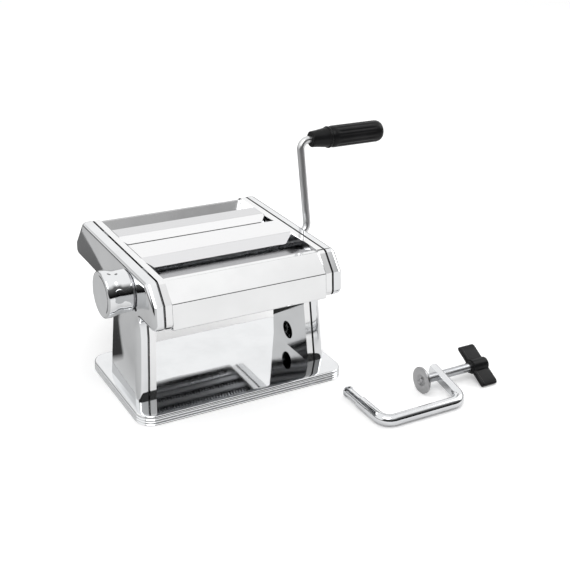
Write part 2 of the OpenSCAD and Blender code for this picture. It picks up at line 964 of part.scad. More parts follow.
// Cheek outside the panel, from the roller's journal down to the tie between the cheeks
module cheek() {
    difference() {
        union() {
            translate([cheek_x, adjust_y - cheek_r, roller_z - cheek_r])
                cube([cheek_w, 2 * cheek_r, 2 * cheek_r]);
            rod(cheek_x, cheek_w, carriage_tie_at, tie_boss_r);
            translate([cheek_x, carriage_tie_at.x - tie_boss_r, carriage_tie_at.y])
                cube([cheek_w, 2 * tie_boss_r, roller_z - carriage_tie_at.y]);
        }
        rod(cheek_x - over, cheek_w + 2 * over, adjust_at, slide_journal_r + fit);
        rod(cheek_x - over, cheek_w + 2 * over, carriage_tie_at, carriage_tie_r + seat);
    }
}

module right_bearing_block() {
    color("darkgray") {
        block_slug(panel_in + slip, cheek_x - panel_in - slip);
        cheek();
    }
}

module left_bearing_block() {
    color("darkgray")
        mirror([1, 0, 0])
            block_slug(panel_in + slip, cheek_x - panel_in - slip);
}

// Bar that joins the left cheek to the pin in the cam's groove
adjust_bar_h = 5;

module adjust_bar() {
    pin_w = cam_x + groove_depth - cheek_x - slot_play * 3;
    color("silver")
        mirror([1, 0, 0]) {
            cheek();
            difference() {
                translate([cheek_x, follower_at.x, follower_at.y - adjust_bar_h / 2])
                    cube([cheek_w, adjust_y - cheek_r - follower_at.x, adjust_bar_h]);
                rod(cheek_x - over, cheek_w + 2 * over, adjust_at, slide_journal_r + fit);
            }
            rod(cheek_x, cheek_w, follower_at, follower_r * 1.6);
            rod(cheek_x, pin_w, follower_at, follower_r);
        }
}

module carriage_tie() {
    color("silver")
        rod(-cheek_x - cheek_w, 2 * (cheek_x + cheek_w), carriage_tie_at, carriage_tie_r);
}

// Spindle, cam and knob, made on the right at first and mirrored to the left
step_gap = 0.5;
spindle_step_x = cheek_x + cheek_w + step_gap;
bush_w = 2;
hub_gap = 5.5;
hub_x = face_x + hub_gap;
hub_t = 2;
hub_rim = 3.5;
hub_wall = 2.5;
hub_r = knob_neck_r - casing_t - slot_play;
spring_shut = 3;
spring_len = knob_pull + spring_shut;
spring_x = hub_x + hub_t;
screw_head = [6.5, 3];
knob_screw_r = 2;
knob_screw_len = 10;

module adjust_spindle() {
    color("silver")
        mirror([1, 0, 0])
            difference() {
                steps(knob_at, [
                    [0, panel_in + slip],
                    [stub_r, panel_in + slip],
                    [stub_r, spindle_step_x],
                    [spindle_r, spindle_step_x],
                    [spindle_r, spring_x + spring_len],
                    [0, spring_x + spring_len]
                ]);
                rod(spring_x + spring_len - knob_screw_len - over, knob_screw_len + 2 * over, knob_at, knob_screw_r + fit);
            }
}

// Radius of the groove at an angle of the cam, falling evenly over the knob's turn
groove_r = follower_r + groove_play;
function groove_at(a) = follower_at_rest - close_travel * a / knob_turn;
function groove_edge(side) = [for (a = [0:knob_turn / 24:knob_turn]) (groove_at(a) + side * groove_r) * [cos(a), sin(a)]];
function turned_back(p) = [for (i = [len(p) - 1:-1:0]) p[i]];

module adjust_cam() {
    color("darkgray")
        mirror([1, 0, 0])
            difference() {
                rod(cam_x, cam_t, knob_at, cam_r);
                rod(cam_x - over, cam_t + 2 * over, knob_at, spindle_r + seat);
                translate([0, knob_at.x, knob_at.y])
                    along_x(cam_x - over, groove_depth + over) {
                        polygon(concat(groove_edge(1), turned_back(groove_edge(-1))));
                        for (a = [0, knob_turn])
                            translate(groove_at(a) * [cos(a), sin(a)])
                                circle(groove_r);
                    }
            }
}

module knob_bush() {
    color("goldenrod")
        mirror([1, 0, 0]) {
            ring(casing_in - bush_w, bush_w + casing_t + 2 * slot_play, knob_at, spindle_r + fit, bush_r);
            ring(casing_in - bush_w, bush_w, knob_at, spindle_r + fit, bush_r + bush_t);
        }
}

// Plate behind the knob: an arc for the knob's pin, widened at every setting
detent_r = 13;
detent_t = 1.2;
detent_out = 16.5;
pin_r = 1.5;
detent_way = pin_r + slot_play;
detent_hole_r = pin_r + 3 * slot_play;

module detent_plate() {
    inner = detent_r - detent_way;
    outer = detent_r + detent_way;
    color("gray")
        mirror([1, 0, 0])
            difference() {
                ring(face_x, detent_t, knob_at, bush_r + slot_play, detent_out);
                translate([0, knob_at.x, knob_at.y])
                    along_x(face_x - over, detent_t + 2 * over) {
                        polygon(concat(
                            [for (a = [0:knob_turn / 24:knob_turn]) outer * [cos(180 - a), sin(180 - a)]],
                            [for (a = [knob_turn:-knob_turn / 24:0]) inner * [cos(180 - a), sin(180 - a)]]
                        ));
                        for (i = [0:settings - 1])
                            rotate(180 - i * setting_step)
                                translate([detent_r, 0])
                                    circle(detent_hole_r);
                    }
            }
}

index_r = 1.6;
index_t = 0.4;
index_at = [-30, 94.5];

module index_mark() {
    color("black")
        mirror([1, 0, 0])
            rod(face_x, index_t, index_at, index_r);
}

module knob_hub() {
    color("darkgray")
        mirror([1, 0, 0]) {
            difference() {
                union() {
                    rod(hub_x, hub_t, knob_at, hub_r);
                    rod(hub_x - hub_rim, hub_rim, knob_at, spindle_r + hub_wall);
                }
                rod(hub_x - hub_rim - over, hub_t + hub_rim + 2 * over, knob_at, spindle_r + fit);
            }
            rod(face_x + slot_play, hub_x - face_x - slot_play, knob_at - [detent_r, 0], pin_r);
        }
}

// Knob shell: a cup that flares to its rim, with a shallow dish in its face
knob_foot_gap = 1.5;
knob_foot_x = face_x + knob_foot_gap;
knob_face_x = face_x + knob_reach;
knob_rim_w = 3.7;
knob_wall = 1.2;
dish = 0.8;

module knob_shell() {
    color("silver")
        mirror([1, 0, 0])
            steps(knob_at, [
                [knob_neck_r - knob_wall, knob_foot_x],
                [knob_neck_r, knob_foot_x],
                [knob_neck_r, knob_foot_x + 2 * knob_rim_w],
                [knob_neck_r + (knob_r - knob_neck_r) / 3, knob_face_x - 2 * knob_rim_w],
                [knob_r, knob_face_x - knob_rim_w],
                [knob_r, knob_face_x - knob_wall],
                [knob_r - knob_wall, knob_face_x],
                [knob_r - 2 * knob_wall, knob_face_x],
                [knob_r - 4 * knob_wall, knob_face_x - dish],
                [0, knob_face_x - dish / 2],
                [0, knob_face_x - dish / 2 - knob_wall],
                [knob_neck_r - knob_wall, knob_face_x - dish - knob_wall]
            ]);
}

module spindle_screw() {
    color("silver")
        mirror([1, 0, 0]) {
            rod(spring_x + spring_len, screw_head.y, knob_at, screw_head.x);
            rod(spring_x + spring_len - knob_screw_len, knob_screw_len + over, knob_at, knob_screw_r);
        }
}

// Coil spring between the hub and the screw's head, as one tube of rings
wire_r = 0.45;
coil_r = 5.2;
coil_turns = 4;
coil_rings = 8;
coil_sides = 6;
spring_gap = 0.15;

coil_len = spring_len - 2 * wire_r - 2 * spring_gap;
function coil_mid(t) = [spring_x + spring_gap + wire_r + coil_len * t / coil_turns, coil_r * cos(360 * t), coil_r * sin(360 * t)];
function coil_ring(t) =
    let (out = [0, cos(360 * t), sin(360 * t)])
    [for (s = [0:coil_sides - 1]) coil_mid(t) + wire_r * (cos(360 * s / coil_sides) * out + sin(360 * s / coil_sides) * [1, 0, 0])];
coil_count = coil_turns * coil_rings + 1;
coil_gap = min([for (i = [0:coil_count - 1 - coil_rings / 2], j = [i + coil_rings / 2:coil_count - 1])
    norm(coil_mid(i / coil_rings) - coil_mid(j / coil_rings)) - 2 * wire_r]);
echo(spring_gap_to_itself = coil_gap);

module knob_spring() {
    color("silver")
        mirror([1, 0, 0])
            translate([0, knob_at.x, knob_at.y])
                polyhedron(
                    points = [for (i = [0:coil_count - 1]) each coil_ring(i / coil_rings)],
                    faces = concat(
                        [for (i = [0:coil_count - 2], s = [0:coil_sides - 1], half = [0, 1])
                            let (
                                a = i * coil_sides + s,
                                b = i * coil_sides + (s + 1) % coil_sides,
                                c = b + coil_sides,
                                d = a + coil_sides
                            )
                            half == 0 ? [a, b, c] : [a, c, d]],
                        [[for (s = [coil_sides - 1:-1:0]) s]],
                        [[for (s = [0:coil_sides - 1]) (coil_count - 1) * coil_sides + s]]
                    )
                );
}

// Crank: a bent rod, drawn with its stub along X and its arm upright, then leaned back
bend_r = 9;
spindle_pin_r = 3;
grip_gap = 11.5;
arm_x = face_x + arm_reach;
grip_x = arm_x + grip_gap;
washer_t = 1.5;
cap_depth = 8;
pin_end = grip_x + grip_len - cap_depth + washer_t;

module quarter_bend(start) {
    rotate([90, 0, 0])
        rotate(start)
            rotate_extrude(angle = 90)
                translate([bend_r, 0])
                    circle(crank_r);
}

module crank_frame() {
    translate([0, drive_at.x, drive_at.y])
        rotate([-arm_lean, 0, 0])
            children();
}

module crank_rod() {
    color("silver") {
        crank_frame() {
            rod(shaft_end - socket_len + 2 * fit, arm_x - bend_r - shaft_end + socket_len - 2 * fit, [0, 0], crank_r);
            translate([arm_x - bend_r, 0, bend_r])
                quarter_bend(-90);
            translate([arm_x, 0, bend_r])
                cylinder(h = arm_len - 2 * bend_r, r = crank_r);
            translate([arm_x + bend_r, 0, arm_len - bend_r])
                quarter_bend(90);
            rod(arm_x + bend_r, pin_end - arm_x - bend_r, [0, arm_len], spindle_pin_r);
        }
        translate([shaft_end - socket_len - key_len + 2 * fit, drive_at.x - key_size.x / 2, drive_at.y - key_size.y / 2])
            cube([key_len + crank_r, key_size.x, key_size.y]);
    }
}

// Grip: a neck, a collar and a fluted body with a rounded end, free to turn on the rod
neck_len = 20;
neck_r = 7.7;
collar_len = 3;
flute_r = 3;
flute_depth = 0.7;
flutes = 14;

module crank_grip() {
    end = grip_len;
    color("dimgray")
        crank_frame()
            translate([grip_x, 0, arm_len])
                rotate([0, 90, 0])
                    difference() {
                        rotate_extrude()
                            polygon(concat(
                                [
                                    [spindle_pin_r + 2 * fit, 0],
                                    [neck_r - fold_r, 0],
                                    [neck_r, fold_r],
                                    [grip_r - fold_r, neck_len - collar_len],
                                    [grip_r, neck_len - collar_len + fold_r],
                                    [grip_r, neck_len],
                                    [grip_r - fold_r / 2, neck_len + fold_r],
                                    [grip_r, neck_len + collar_len],
                                    [grip_r, end - 2 * collar_len],
                                ],
                                [for (i = [1:arc_steps]) let (a = 90 * i / arc_steps)
                                    [grip_r - collar_len * (1 - cos(a)), end - 2 * collar_len * (1 - sin(a))]],
                                [
                                    [cap_r + seat, end],
                                    [cap_r + seat, end - cap_depth],
                                    [spindle_pin_r + 2 * fit, end - cap_depth]
                                ]
                            ));
                        for (i = [0:flutes - 1])
                            rotate(360 * i / flutes)
                                translate([grip_r + flute_r - flute_depth, 0, neck_len + 2 * collar_len])
                                    cylinder(h = end - neck_len - 5 * collar_len, r = flute_r);
                    }
}

cap_r = 6;

module grip_washer() {
    color("silver")
        crank_frame()
            ring(pin_end - washer_t + 2 * fit, washer_t - 2 * fit, [0, arm_len], spindle_pin_r + seat, cap_r - 2 * slip);
}

module grip_end_cap() {
    color("dimgray")
        crank_frame()
            rod(pin_end + slot_play, grip_x + grip_len - pin_end - slot_play, [0, arm_len], cap_r);
}

// Clamp: a bar bent twice, lying on the table; its last arm rises to the screw and has a flat on its inner side
hook_x = 84;
clamp_back_y = -base_d / 2 - clamp_y;
clamp_bend_r = 10.5;
screw_y = 35.2;
arm_past = 11;
arm_r = bar_r - fit;
arm_flat = 1.4;
screw_x = hook_x + clamp_span;
screw_rise = atan((pad_r - bar_r) / screw_y);
pad_t = 3;
pad_gap = 19.5;
pad_x = screw_x - pad_gap;
hook_tip = 2.5;
hook_neck = 20;
hook_groove = 1.1;
screw_axis = [clamp_back_y + screw_y, pad_r];

module clamp_bend(start, r) {
    rotate(start)
        rotate_extrude(angle = 90)
            translate([clamp_bend_r, 0])
                circle(r);
}

module clamp_bar() {
    reach = norm([screw_y, pad_r - bar_r]);
    color("silver") {
        translate([hook_x, clamp_back_y, bar_r]) {
            translate([0, clamp_bend_r, 0])
                rotate([-90, 0, 0])
                    rotate_extrude()
                        polygon([
                            [0, 0],
                            [bar_r, 0],
                            [bar_r, hook_len - clamp_bend_r - hook_tip - hook_neck],
                            [bar_r - hook_groove, hook_len - clamp_bend_r - hook_tip - hook_neck],
                            [bar_r - hook_groove, hook_len - clamp_bend_r - hook_tip],
                            [bar_r, hook_len - clamp_bend_r - hook_tip],
                            [bar_r, hook_len - clamp_bend_r - hook_groove],
                            [bar_r - hook_groove, hook_len - clamp_bend_r],
                            [0, hook_len - clamp_bend_r]
                        ]);
            translate([clamp_bend_r, clamp_bend_r, 0])
                clamp_bend(180, bar_r);
            rod(clamp_bend_r, clamp_span - 2 * clamp_bend_r + fit, [0, 0], bar_r);
        }
        difference() {
            translate([screw_x, clamp_back_y, bar_r])
                rotate([screw_rise, 0, 0]) {
                    translate([-clamp_bend_r, clamp_bend_r, 0])
                        clamp_bend(-90, arm_r);
                    translate([0, clamp_bend_r, 0])
                        rotate([-90, 0, 0])
                            cylinder(h = reach - clamp_bend_r + arm_past, r = arm_r);
                }
            translate([screw_x, clamp_back_y, bar_r])
                rotate([screw_rise, 0, 0])
                    translate([-2 * bar_r + arm_flat, clamp_bend_r + arm_flat, -bar_r - over])
                        cube([bar_r, reach + arm_past, 2 * bar_r + 2 * over]);
            rod(screw_x - 2 * bar_r, 4 * bar_r, screw_axis, screw_r + fit);
        }
    }
}

// Screw of the clamp, with the pressure disc on its left end and the wing knob on its right
wing_gap = 3.2;
wing_len = 19;
wing_x = screw_x + bar_r + pad_travel + wing_gap + wing_len / 2;
ball_r = 2.5;

module clamp_screw() {
    color("silver")
        steps(screw_axis, [
            [0, pad_x + pad_t / 2],
            [ball_r, pad_x + pad_t / 2],
            [ball_r, pad_x + 2 * pad_t],
            [screw_r, pad_x + 2 * pad_t],
            [screw_r, wing_x + wing_len / 2],
            [0, wing_x + wing_len / 2]
        ]);
}

module clamp_pad() {
    color("silver")
        steps(screw_axis, [
            [0, pad_x - pad_t / 2],
            [pad_r - slip, pad_x - pad_t / 2],
            [pad_r, pad_x],
            [pad_r, pad_x + pad_t / 3],
            [2 * ball_r, pad_x + pad_t],
            [2 * ball_r, pad_x + 2 * pad_t - slip],
            [ball_r + fit, pad_x + 2 * pad_t - slip],
            [ball_r + fit, pad_x + pad_t / 2 - fit],
            [0, pad_x + pad_t / 2 - fit]
        ]);
}

wing_hub_r = 7;
wing_span = 22.5;
wing_t = 3.6;
wing_turn = 28;
wing_step = 1;

module clamp_wing_knob() {
    color("dimgray")
        difference() {
            union() {
                rod(wing_x - wing_len / 2, wing_len, screw_axis, wing_hub_r);
                translate([wing_x, screw_axis.x, screw_axis.y])
                    rotate([wing_turn, 0, 0])
                        translate([wing_step - wing_len / 2, -wing_span, -wing_t / 2])
                            cube([wing_len - 2 * wing_step, 2 * wing_span, wing_t]);
            }
            rod(wing_x - wing_len / 2 - over, wing_len + over, screw_axis, screw_r + seat);
        }
}

base_plate();
rubber_feet();
base_screws();
left_side_panel();
right_side_panel();
left_casing();
right_casing();
casing_clips();
front_panel();
front_tray();
center_guide();
rear_guide();
rear_cover();
tie_rods();
tie_rod_screws();
roller_bushes();
cutter_bushes();
roller_scrapers();
front_combs();
rear_combs();
drive_roller();
drive_gear();
adjustable_roller();
adjustable_gear();
left_bearing_block();
right_bearing_block();
adjust_bar();
carriage_tie();
adjust_spindle();
adjust_cam();
knob_bush();
detent_plate();
index_mark();
knob_shell();
knob_hub();
knob_spring();
spindle_screw();
front_cutter_a();
front_cutter_b();
front_gear_a();
front_gear_b();
rear_cutter_a();
rear_cutter_b();
rear_gear_a();
rear_gear_b();
crank_rod();
crank_grip();
grip_washer();
grip_end_cap();
clamp_bar();
clamp_pad();
clamp_screw();
clamp_wing_knob();
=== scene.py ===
import math
import bpy
from mathutils import Matrix, Vector

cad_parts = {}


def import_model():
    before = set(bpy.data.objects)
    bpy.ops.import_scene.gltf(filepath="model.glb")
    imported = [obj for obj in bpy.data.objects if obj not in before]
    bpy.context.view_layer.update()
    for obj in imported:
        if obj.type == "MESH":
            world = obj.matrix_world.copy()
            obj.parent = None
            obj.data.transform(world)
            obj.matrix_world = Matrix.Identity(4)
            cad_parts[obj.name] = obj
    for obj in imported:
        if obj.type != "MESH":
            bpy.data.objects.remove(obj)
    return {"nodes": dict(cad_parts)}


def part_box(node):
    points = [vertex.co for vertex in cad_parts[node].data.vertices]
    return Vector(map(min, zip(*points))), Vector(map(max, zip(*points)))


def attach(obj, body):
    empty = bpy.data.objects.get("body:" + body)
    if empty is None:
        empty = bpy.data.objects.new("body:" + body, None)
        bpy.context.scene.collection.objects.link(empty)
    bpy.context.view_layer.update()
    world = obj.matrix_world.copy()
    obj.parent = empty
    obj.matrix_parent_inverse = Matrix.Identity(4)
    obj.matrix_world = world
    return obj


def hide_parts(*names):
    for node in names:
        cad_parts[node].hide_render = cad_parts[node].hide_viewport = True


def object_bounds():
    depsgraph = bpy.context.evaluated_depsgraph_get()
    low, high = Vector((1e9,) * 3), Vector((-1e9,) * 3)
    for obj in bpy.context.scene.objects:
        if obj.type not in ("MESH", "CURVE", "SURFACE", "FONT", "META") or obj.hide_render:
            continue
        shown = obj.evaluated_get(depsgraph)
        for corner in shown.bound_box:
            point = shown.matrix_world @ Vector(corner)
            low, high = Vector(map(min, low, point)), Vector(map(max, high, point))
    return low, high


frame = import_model()
cad_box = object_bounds()
nodes = frame["nodes"]
MM = 0.001

# Camera: the photograph's viewing angle, for an image of 570 by 570 pixels
IMAGE = 570
FOCAL_PX = 1032.0
SENSOR = 36.0
YAW = math.radians(30.04)
PITCH = math.radians(24.38)
ROLL = math.radians(1.92)
EYE = Vector((-367.0, -754.9, 468.7)) * MM


def make_camera():
    ahead = Vector((math.sin(YAW) * math.cos(PITCH), math.cos(YAW) * math.cos(PITCH), -math.sin(PITCH)))
    right = Vector((math.cos(YAW), -math.sin(YAW), 0))
    down = ahead.cross(right)
    right, down = (
        right * math.cos(ROLL) - down * math.sin(ROLL),
        right * math.sin(ROLL) + down * math.cos(ROLL),
    )
    data = bpy.data.cameras.new("camera")
    data.sensor_width = SENSOR
    data.lens = FOCAL_PX * SENSOR / IMAGE
    camera = bpy.data.objects.new("camera", data)
    camera.matrix_world = Matrix.Translation(EYE) @ Matrix((right, -down, -ahead)).transposed().to_4x4()
    bpy.context.scene.collection.objects.link(camera)
    bpy.context.scene.camera = camera


make_camera()


# Materials

def new_material(name):
    material = bpy.data.materials.new(name)
    material.use_nodes = True
    return material, material.node_tree, material.node_tree.nodes["Principled BSDF"]


def add(tree, kind, inputs=None, **settings):
    node = tree.nodes.new(kind)
    for key, value in settings.items():
        setattr(node, key, value)
    for key, value in (inputs or {}).items():
        if isinstance(value, bpy.types.NodeSocket):
            tree.links.new(value, node.inputs[key])
        else:
            node.inputs[key].default_value = value
    return node


def multiply(tree, first, second):
    return add(tree, "ShaderNodeMath", {0: first, 1: second}, operation="MULTIPLY").outputs[0]


def map_range(tree, value, start, stop, low=0.0, high=1.0, **settings):
    """Value taken from the range start to stop to the range low to high, and held at its ends."""
    return add(tree, "ShaderNodeMapRange", {
        "Value": value, "From Min": start, "From Max": stop, "To Min": low, "To Max": high,
    }, **settings).outputs["Result"]


def coordinates(tree, stretch=(1, 1, 1)):
    place = add(tree, "ShaderNodeTexCoord")
    mapping = add(tree, "ShaderNodeMapping", {"Vector": place.outputs["Object"], "Scale": stretch})
    return mapping.outputs["Vector"]


def noise(tree, vector, scale, detail=2.0, low=0.35, high=0.65):
    texture = add(tree, "ShaderNodeTexNoise", {"Vector": vector, "Scale": scale, "Detail": detail})
    return map_range(tree, texture.outputs["Fac"], low, high)


def blend_values(tree, factor, low, high):
    return map_range(tree, factor, 0.0, 1.0, low, high)


def blend_colors(tree, factor, first, second):
    mix = add(tree, "ShaderNodeMix", data_type="RGBA")
    tree.links.new(factor, mix.inputs[0])
    mix.inputs[6].default_value = (*first, 1)
    mix.inputs[7].default_value = (*second, 1)
    return mix.outputs[2]


def bump(tree, height, distance, strength=1.0, below=None):
    inputs = {"Height": height, "Distance": distance, "Strength": strength}
    if below is not None:
        inputs["Normal"] = below
    return add(tree, "ShaderNodeBump", inputs).outputs["Normal"]


SCRATCH_ROUGHNESS = 0.05
SCRATCH_DEPTH = 0.0000008


def sheet_metal(name, color, dark, rough, ripple=0.00004, ripple_scale=28):
    """Polished or rolled sheet: slow ripples of the sheet, fine wiping marks, and duller smudges."""
    material, tree, shader = new_material(name)
    place = coordinates(tree)
    smudge = noise(tree, place, 35, 4, 0.4, 0.75)
    fine = noise(tree, coordinates(tree, (1, 9, 9)), 420, 3)
    tree.links.new(blend_colors(tree, smudge, color, dark), shader.inputs["Base Color"])
    both = multiply(tree, smudge, fine)
    tree.links.new(blend_values(tree, both, rough, rough + SCRATCH_ROUGHNESS), shader.inputs["Roughness"])
    waves = bump(tree, noise(tree, place, ripple_scale, 1, 0.2, 0.8), ripple)
    tree.links.new(bump(tree, fine, SCRATCH_DEPTH, 0.5, waves), shader.inputs["Normal"])
    shader.inputs["Metallic"].default_value = 1.0
    return material


BRUSH_STRETCH = (1, 40, 40)
BRUSH_ROUGHNESS = 0.12
BRUSH_DEPTH = 0.000004


def brushed_metal(name, color, dark, rough):
    """Turned or ground metal: fine lines along X, with duller patches between them."""
    material, tree, shader = new_material(name)
    lines = noise(tree, coordinates(tree, BRUSH_STRETCH), 60, 5)
    patches = noise(tree, coordinates(tree), 45, 3)
    tree.links.new(blend_colors(tree, lines, color, dark), shader.inputs["Base Color"])
    tree.links.new(blend_values(tree, patches, rough, rough + BRUSH_ROUGHNESS), shader.inputs["Roughness"])
    tree.links.new(bump(tree, lines, BRUSH_DEPTH), shader.inputs["Normal"])
    shader.inputs["Metallic"].default_value = 1.0
    return material


GRAIN_SCALE = 1400
GRAIN_DEPTH = 0.00002
WORN_SMOOTHER = 0.75


def moulded(name, color, worn, rough, specular=0.22):
    """Moulded plastic or rubber: a fine grain, worn paler and smoother in patches."""
    material, tree, shader = new_material(name)
    place = coordinates(tree)
    wear = noise(tree, place, 60, 4, 0.45, 0.8)
    tree.links.new(blend_colors(tree, wear, color, worn), shader.inputs["Base Color"])
    tree.links.new(blend_values(tree, wear, rough, rough * WORN_SMOOTHER), shader.inputs["Roughness"])
    tree.links.new(bump(tree, noise(tree, place, GRAIN_SCALE, 2), GRAIN_DEPTH), shader.inputs["Normal"])
    shader.inputs["Specular IOR Level"].default_value = specular
    return material


LEVEL_FROM = 0.97
LEVEL_TO = 0.995
GUIDE_RIPPLE = 0.00002


def guide_metal(name, top, lip, rough):
    """Guide plate: its flat top and its turned-down lips get different tones by which way they face, as
    painted light and shade.
    """
    material, tree, shader = new_material(name)
    normal = add(tree, "ShaderNodeTexCoord").outputs["Normal"]
    up = add(tree, "ShaderNodeSeparateXYZ", {"Vector": normal}).outputs["Z"]
    painted_top_mask = map_range(tree, up, LEVEL_FROM, LEVEL_TO)
    fine = noise(tree, coordinates(tree, (1, 12, 12)), 380, 3)
    both = multiply(tree, painted_top_mask, blend_values(tree, fine, 0.93, 1.0))
    tree.links.new(blend_colors(tree, both, lip, top), shader.inputs["Base Color"])
    tree.links.new(blend_values(tree, fine, rough, rough + SCRATCH_ROUGHNESS), shader.inputs["Roughness"])
    waves = noise(tree, coordinates(tree), 26, 1, 0.2, 0.8)
    tree.links.new(bump(tree, waves, GUIDE_RIPPLE), shader.inputs["Normal"])
    shader.inputs["Metallic"].default_value = 1.0
    return material


MIRROR = sheet_metal("mirror_steel", (0.86, 0.87, 0.88), (0.80, 0.81, 0.82), 0.035)
PANEL = sheet_metal("panel_steel", (0.93, 0.933, 0.936), (0.88, 0.883, 0.886), 0.06, ripple=0.00002)
# Guide plates: the lighter and darker tones of top and lips are painted light and shade, set by which way
# each faces.
GUIDE = guide_metal("guide_steel", (0.93, 0.93, 0.935), (0.80, 0.80, 0.81), 0.07)
REAR_GUIDE = guide_metal("rear_guide_steel", (0.72, 0.72, 0.73), (0.95, 0.95, 0.955), 0.1)
TRAY = sheet_metal("tray_steel", (0.46, 0.46, 0.47), (0.40, 0.40, 0.41), 0.2, ripple=0.00001)
# Near-black for the shell's rounded edge at the seam: painted shade of the gap between shell and side panel.
SEAM_SHADE = brushed_metal("seam_edge_painted_shade", (0.05, 0.05, 0.052), (0.02, 0.02, 0.021), 0.5)
REAR_TRAY = sheet_metal("rear_tray_steel", (0.58, 0.582, 0.586), (0.50, 0.502, 0.506), 0.2, ripple=0.00002)
ROLLER = brushed_metal("roller_steel", (0.66, 0.67, 0.69), (0.52, 0.53, 0.55), 0.26)
GEAR = brushed_metal("gear_steel", (0.46, 0.46, 0.48), (0.32, 0.32, 0.33), 0.34)
STRIP = brushed_metal("spring_steel", (0.58, 0.59, 0.61), (0.46, 0.47, 0.49), 0.3)
ROD = sheet_metal("bar_steel", (0.84, 0.85, 0.86), (0.74, 0.75, 0.77), 0.07, ripple=0.00001, ripple_scale=90)
SCREW = brushed_metal("screw_steel", (0.70, 0.71, 0.73), (0.58, 0.59, 0.61), 0.22)
THREAD = brushed_metal("thread_steel", (0.62, 0.63, 0.64), (0.45, 0.46, 0.48), 0.3)
BRASS = brushed_metal("bush_brass", (0.72, 0.55, 0.28), (0.60, 0.44, 0.2), 0.28)
BLACK = moulded("black_plastic", (0.007, 0.007, 0.0075), (0.016, 0.016, 0.017), 0.34, specular=0.16)
CRANK = sheet_metal("crank_steel", (0.78, 0.785, 0.79), (0.68, 0.685, 0.69), 0.32, ripple=0.00001,
                    ripple_scale=90)
DISC = sheet_metal("disc_steel", (0.46, 0.46, 0.465), (0.40, 0.40, 0.405), 0.3, ripple=0.00001)
RUBBER = moulded("foot_rubber", (0.02, 0.02, 0.021), (0.05, 0.05, 0.05), 0.7)
MARK = moulded("mark_paint", (0.01, 0.01, 0.01), (0.03, 0.03, 0.03), 0.5)

NODE_MATERIALS = {
    MIRROR: ["knob_shell"],
    DISC: ["clamp_pad"],
    REAR_TRAY: ["rear_cover"],
    PANEL: ["left_side_panel", "right_side_panel", "front_panel", "front_tray"],
    GUIDE: ["center_guide"],
    REAR_GUIDE: ["rear_guide"],
    ROLLER: ["drive_roller", "adjustable_roller", "front_cutter_a", "front_cutter_b", "rear_cutter_a",
             "rear_cutter_b"],
    GEAR: ["drive_gear", "adjustable_gear", "front_gear_a", "front_gear_b", "rear_gear_a", "rear_gear_b",
           "left_bearing_block", "right_bearing_block", "adjust_bar", "adjust_cam", "detent_plate"],
    STRIP: ["casing_clips", "roller_scrapers", "front_combs", "rear_combs", "knob_spring"],
    ROD: ["clamp_bar"],
    CRANK: ["crank_rod"],
    SCREW: ["base_screws", "tie_rods", "tie_rod_screws", "carriage_tie", "adjust_spindle", "spindle_screw",
            "grip_washer"],
    THREAD: ["clamp_screw"],
    BRASS: ["roller_bushes", "cutter_bushes", "knob_bush"],
    BLACK: ["knob_hub", "crank_grip", "grip_end_cap", "clamp_wing_knob"],
    RUBBER: ["rubber_feet"],
    MARK: ["index_mark"],
}


def dress(obj, material, sharp=35.0):
    obj.data.materials.clear()
    obj.data.materials.append(material)
    for face in obj.data.polygons:
        face.use_smooth = True
    obj.data.set_sharp_from_angle(angle=math.radians(sharp))


for material, names in NODE_MATERIALS.items():
    for name in names:
        dress(nodes[name], material)


# Meshes

def mesh_piece(name, points, faces, material, body, stands_for, sharp):
    data = bpy.data.meshes.new(name)
    data.from_pydata([tuple(p) for p in points], [], faces)
    data.update()
    obj = bpy.data.objects.new(name, data)
    bpy.context.scene.collection.objects.link(obj)
    dress(obj, material, sharp)
    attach(obj, body)
    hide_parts(stands_for)
    return obj


def grid_faces(rings, count, flip=False):
    """Quads between rings of count points each."""
    faces = []
    for k in range(rings - 1):
        for i in range(count):
            a, b = k * count + i, k * count + (i + 1) % count
            c, d = b + count, a + count
            faces.append((a, d, c, b) if flip else (a, b, c, d))
    return faces


def clamped(value):
    return max(0.0, min(1.0, value))


def unit(v):
    return v / v.length


def left_of(u):
    return Vector((-u.y, u.x))


def corner(a, b, c, r, steps):
    """Points of the arc that rounds the corner b between a and c."""
    if r == 0:
        return [b]
    u, w = unit(a - b), unit(c - b)
    half = math.acos(u.dot(w)) / 2
    middle = b + unit(u + w) * r / math.sin(half)
    start, stop = b + u * r / math.tan(half) - middle, b + w * r / math.tan(half) - middle
    angle = math.atan2(start.y, start.x)
    sweep = (math.atan2(stop.y, stop.x) - angle + 3 * math.pi) % (2 * math.pi) - math.pi
    return [middle + r * Vector((math.cos(angle + sweep * i / steps), math.sin(angle + sweep * i / steps)))
            for i in range(steps + 1)]


def outline(corners, steps):
    """Closed outline through corners given as (y, z, radius)."""
    flat = [Vector(c[:2]) for c in corners]
    count = len(flat)
    points = []
    for i, c in enumerate(corners):
        points += corner(flat[i - 1], flat[i], flat[(i + 1) % count], c[2], steps)
    return points


def inset(points, d):
    """Outline moved inwards, for one that runs anticlockwise."""
    count = len(points)
    moved = []
    for i, p in enumerate(points):
        a = left_of(unit(p - points[i - 1]))
        b = left_of(unit(points[(i + 1) % count] - p))
        moved.append(p + (a + b) * d / (1 + a.dot(b)))
    return moved


# Side casings, in millimetres as the drawing of the body gives them
casing_low, casing_high = (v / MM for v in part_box("right_casing"))
SEAM_X = casing_low.x
PANEL_IN = 72.2
CASING_W = 10.9
FACE_X = SEAM_X + CASING_W
CASING_T = 1.2
EDGE_R = 5.0
BODY_TOP = casing_high.z
BODY_LOW = 88.0
BASE_TOP = casing_low.z
CREASE_Z = 66.0
SPLAY = math.radians(3.5)
LEG_TOP = (-28.0, 28.0)
LEG_FOOT = (-37.0, 29.5)
CORNER_R = 6.5
LEG_FILLET = 11.0
ARC_STEPS = 14
EDGE_STEPS = 10
# Rounded cut edge at the seam as (distance from the seam, depth under the rim)
SEAM_EDGE = [(0.0, 1.4), (0.4, 0.6), (1.3, 0.0)]


